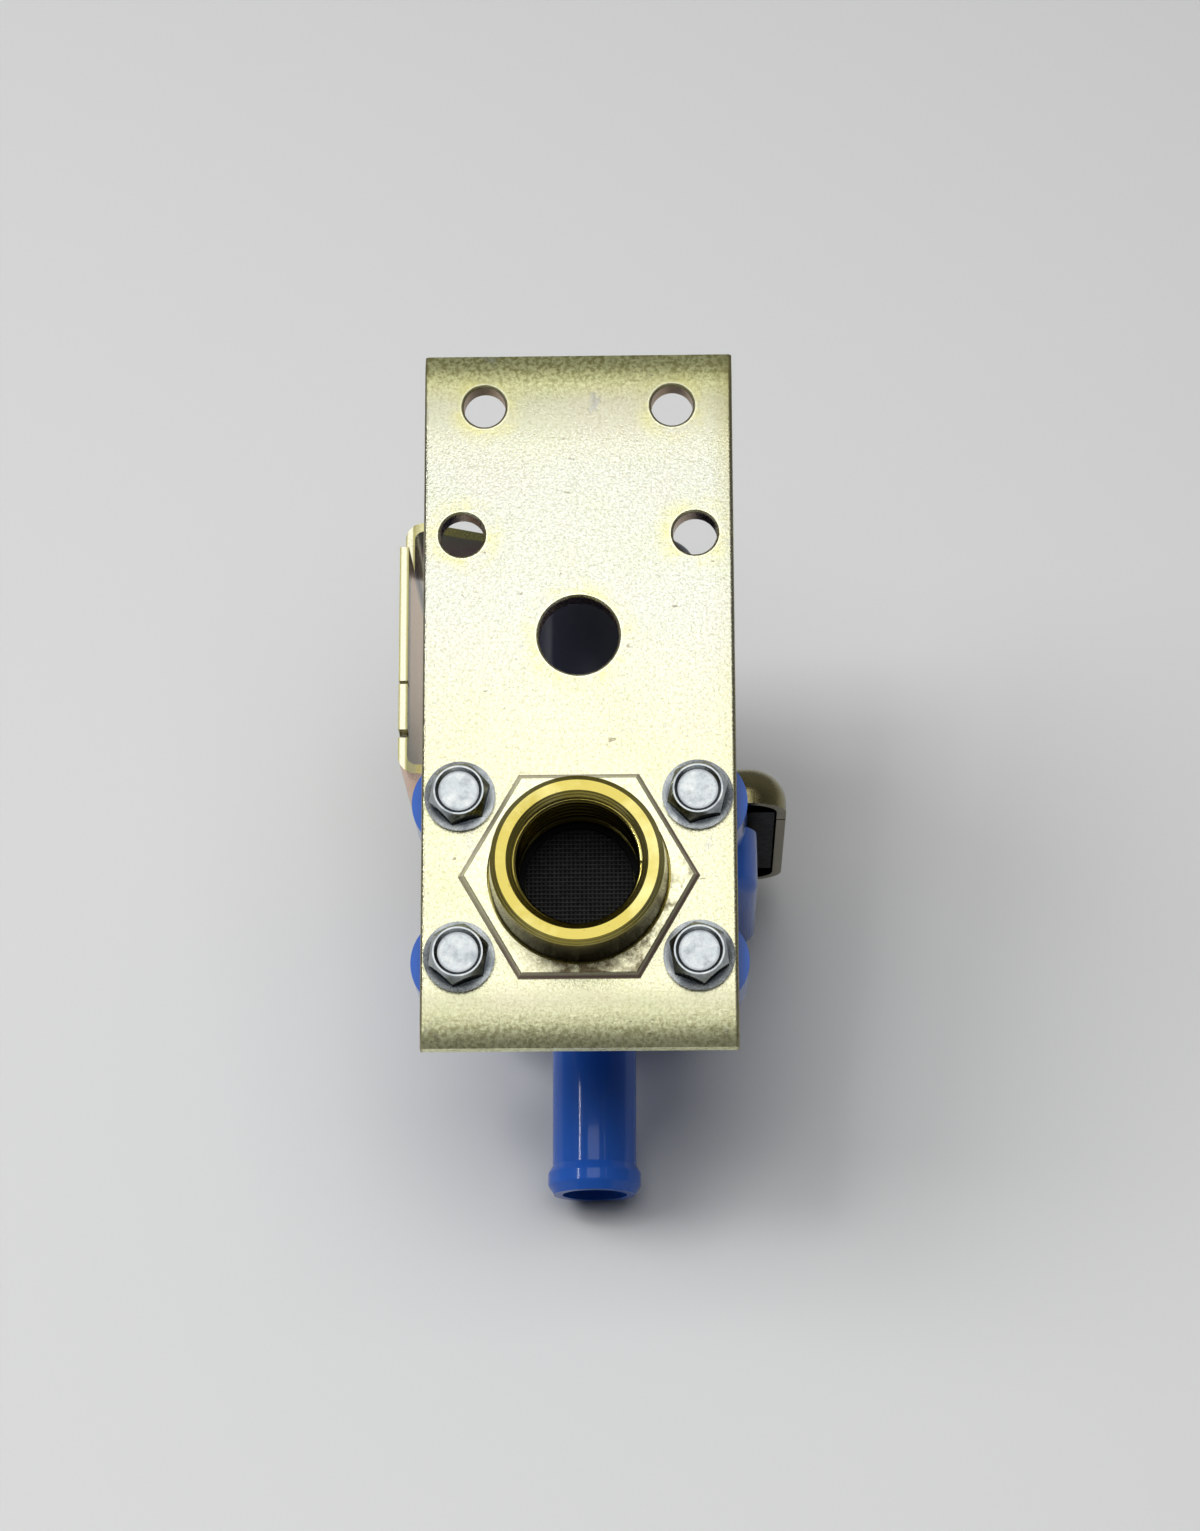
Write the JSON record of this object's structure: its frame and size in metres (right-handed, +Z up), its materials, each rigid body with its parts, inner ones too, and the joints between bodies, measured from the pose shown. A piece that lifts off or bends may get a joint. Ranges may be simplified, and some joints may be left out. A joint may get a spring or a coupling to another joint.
{
  "type": "water inlet solenoid valve",
  "caption": "Flat bracket with a threaded brass inlet, plastic valve body with a hose barb below, and a yoked solenoid coil that lifts a pilot armature to let water through.",
  "frame": {"origin": "on the inlet axis at the front face of the bracket", "axes": "+Z up along the bracket, -Y out of the inlet towards the supply hose, +X to the right seen from the inlet side"},
  "size_m": [0.0583, 0.0785, 0.121],
  "materials": {
    "chromate_steel": "satin yellow chromate",
    "zinc_steel": "bright zinc",
    "brass": "machined",
    "black_rubber": "matt",
    "black_plastic": "matt",
    "screen_mesh": "fine dark mesh",
    "blue_plastic": "moulded satin",
    "white_plastic": "moulded",
    "stainless": "drawn",
    "copper": "plain",
    "coil_resin": "dark moulded resin",
    "tinned_brass": "tinned"
  },
  "bodies": {
    "valve": {"mounting_bracket": "chromate_steel", "bracket_screws": "zinc_steel", "inlet_fitting": "brass", "inlet_seal": "black_rubber", "screen_frame": "black_plastic", "inlet_screen": "screen_mesh", "flow_washer": "black_rubber", "valve_body": "blue_plastic", "hose_barb": "blue_plastic", "diaphragm": "black_rubber", "bonnet": "black_plastic", "bonnet_screws": "zinc_steel", "guide_tube": "stainless", "fixed_core": "stainless", "shading_ring": "copper", "armature_spring": "stainless", "flux_sleeves": "zinc_steel", "coil_bobbin": "white_plastic", "coil_winding": "copper", "coil_case": "coil_resin", "terminals": "tinned_brass", "yoke": "chromate_steel", "push_retainer": "zinc_steel"},
    "armature": {"armature": "stainless", "armature_seal": "black_rubber"},
    "diaphragm_centre": {"diaphragm_insert": "white_plastic"}
  },
  "joints": [
    {"name": "armature_lift", "type": "slide", "parent": "valve", "child": "armature", "axis": [0, 0, 1], "range_m": [0, 0.003], "stiffness_N_per_m": 300, "springref_m": -0.006, "deforming": ["armature_spring"]},
    {"name": "diaphragm_lift", "type": "slide", "parent": "valve", "child": "diaphragm_centre", "axis": [0, 0, 1], "range_m": [0, 0.0018], "deforming": ["diaphragm"]}
  ],
  "couplings": [
    {"joint": "diaphragm_lift", "follows": "armature_lift", "ratio": 0.6}
  ]
}
